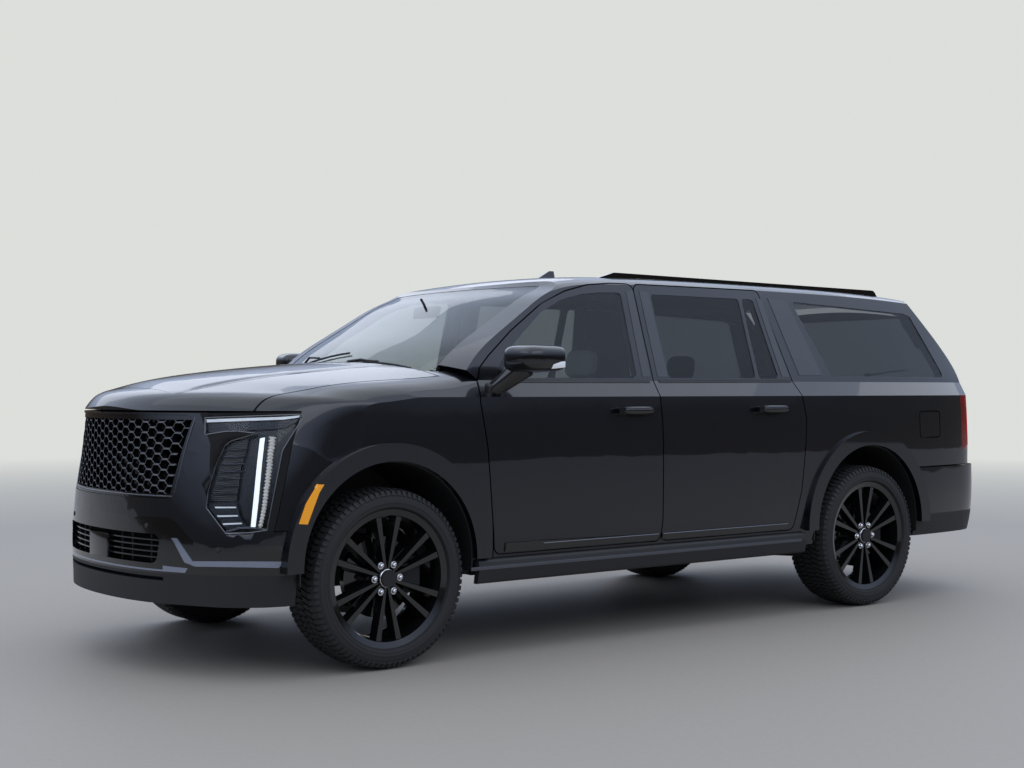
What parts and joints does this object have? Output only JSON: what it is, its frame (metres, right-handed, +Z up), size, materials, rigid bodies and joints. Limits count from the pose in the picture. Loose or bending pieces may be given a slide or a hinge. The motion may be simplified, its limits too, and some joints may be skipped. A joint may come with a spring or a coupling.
{
  "type": "sport utility vehicle",
  "caption": "Full-size sport utility vehicle with a hollow body, opening doors, hood, liftgate and fuel door, and steered and rolling wheels.",
  "frame": {"origin": "on the ground, under the middle of the length and the width", "axes": "+X rearward, +Y to the vehicle's right, +Z up"},
  "size_m": [5.766, 2.525, 1.986],
  "materials": {
    "black_trim": "textured",
    "body_paint": "gloss metallic",
    "clear_glass": "clear tinted",
    "dark_glass": "dark tinted",
    "engine_metal": "cast",
    "floor": "matt",
    "frame_steel": "black coated",
    "gloss_trim": "gloss",
    "head_lamp": "clear lens",
    "interior": "soft touch",
    "steel": "worn",
    "tail_lamp": "red lens",
    "tyre": "matt",
    "upholstery": "matt",
    "wheel_finish": "gloss black"
  },
  "bodies": {
    "vehicle_body": {"body_sides": "body_paint", "tail_lamps": "tail_lamp", "quarter_glass": "dark_glass", "windshield": "clear_glass", "roof_panel": "body_paint", "roof_antenna": "body_paint", "front_fenders": "body_paint", "front_bumper": "body_paint", "headlamps": "head_lamp", "grille": "gloss_trim", "rear_bumper": "body_paint", "wheel_arch_mouldings": "body_paint", "wheel_liners": "black_trim", "roof_rails": "gloss_trim", "running_boards": "black_trim", "chassis_frame": "frame_steel", "floor_pan": "floor", "cowl": "black_trim", "dashboard": "interior", "seats": "upholstery", "engine": "engine_metal", "front_suspension": "frame_steel", "rear_suspension": "frame_steel", "exhaust": "steel"},
    "front_door_assembly_left": {"front_door_left": "body_paint", "front_door_glass_left": "clear_glass", "door_mirror_left": "gloss_trim"},
    "rear_door_assembly_left": {"rear_door_left": "body_paint", "rear_door_glass_left": "dark_glass"},
    "front_door_assembly_right": {"front_door_right": "body_paint", "front_door_glass_right": "clear_glass", "door_mirror_right": "gloss_trim"},
    "rear_door_assembly_right": {"rear_door_right": "body_paint", "rear_door_glass_right": "dark_glass"},
    "hood_assembly": {"hood": "body_paint"},
    "liftgate_assembly": {"liftgate": "body_paint", "liftgate_glass": "dark_glass"},
    "fuel_door_assembly": {"fuel_door": "body_paint"},
    "steering_wheel_assembly": {"steering_wheel": "interior"},
    "knuckle_assembly_left": {"knuckle_left": "frame_steel"},
    "front_wheel_assembly_left": {"front_wheel_left": "wheel_finish", "front_tyre_left": "tyre"},
    "rear_wheel_assembly_left": {"rear_wheel_left": "wheel_finish", "rear_tyre_left": "tyre"},
    "knuckle_assembly_right": {"knuckle_right": "frame_steel"},
    "front_wheel_assembly_right": {"front_wheel_right": "wheel_finish", "front_tyre_right": "tyre"},
    "rear_wheel_assembly_right": {"rear_wheel_right": "wheel_finish", "rear_tyre_right": "tyre"}
  },
  "joints": [
    {"name": "front_door_hinge_left", "type": "hinge", "parent": "vehicle_body", "child": "front_door_assembly_left", "pos_m": [-1.345, -1.003, 0.9], "axis": [0, 0, -1], "range_deg": [0, 65]},
    {"name": "rear_door_hinge_left", "type": "hinge", "parent": "vehicle_body", "child": "rear_door_assembly_left", "pos_m": [-0.15, -1.008, 0.9], "axis": [0, 0, -1], "range_deg": [0, 65]},
    {"name": "front_door_hinge_right", "type": "hinge", "parent": "vehicle_body", "child": "front_door_assembly_right", "pos_m": [-1.345, 1.003, 0.9], "axis": [0, 0, 1], "range_deg": [0, 65]},
    {"name": "rear_door_hinge_right", "type": "hinge", "parent": "vehicle_body", "child": "rear_door_assembly_right", "pos_m": [-0.15, 1.008, 0.9], "axis": [0, 0, 1], "range_deg": [0, 65]},
    {"name": "hood_hinge", "type": "hinge", "parent": "vehicle_body", "child": "hood_assembly", "pos_m": [-1.45, 0, 1.38], "axis": [0, 1, 0], "range_deg": [0, 45]},
    {"name": "liftgate_hinge", "type": "hinge", "parent": "vehicle_body", "child": "liftgate_assembly", "pos_m": [2.322, 0, 1.872], "axis": [0, -1, 0], "range_deg": [0, 85]},
    {"name": "fuel_door_hinge", "type": "hinge", "parent": "vehicle_body", "child": "fuel_door_assembly", "pos_m": [2.044, -0.989, 1.078], "axis": [0, 0, -1], "range_deg": [0, 80]},
    {"name": "steering_wheel_turn", "type": "hinge", "parent": "vehicle_body", "child": "steering_wheel_assembly", "pos_m": [-0.854, -0.396, 1.146], "axis": [0.8988, 0, 0.4384], "range_deg": [-470, 470]},
    {"name": "steering_left", "type": "hinge", "parent": "vehicle_body", "child": "knuckle_assembly_left", "pos_m": [-1.883, -0.807, 0.419], "axis": [0, 0, 1], "range_deg": [-33, 33]},
    {"name": "front_wheel_spin_left", "type": "hinge", "parent": "knuckle_assembly_left", "child": "front_wheel_assembly_left", "pos_m": [-1.883, -0.869, 0.419], "axis": [0, 1, 0], "continuous": true},
    {"name": "rear_wheel_spin_left", "type": "hinge", "parent": "vehicle_body", "child": "rear_wheel_assembly_left", "pos_m": [1.524, -0.869, 0.419], "axis": [0, 1, 0], "continuous": true},
    {"name": "steering_right", "type": "hinge", "parent": "vehicle_body", "child": "knuckle_assembly_right", "pos_m": [-1.883, 0.807, 0.419], "axis": [0, 0, 1], "range_deg": [-33, 33]},
    {"name": "front_wheel_spin_right", "type": "hinge", "parent": "knuckle_assembly_right", "child": "front_wheel_assembly_right", "pos_m": [-1.883, 0.869, 0.419], "axis": [0, 1, 0], "continuous": true},
    {"name": "rear_wheel_spin_right", "type": "hinge", "parent": "vehicle_body", "child": "rear_wheel_assembly_right", "pos_m": [1.524, 0.869, 0.419], "axis": [0, 1, 0], "continuous": true}
  ],
  "couplings": [
    {"joint": "steering_right", "follows": "steering_left", "ratio": 1},
    {"joint": "steering_wheel_turn", "follows": "steering_left", "ratio": 14}
  ]
}
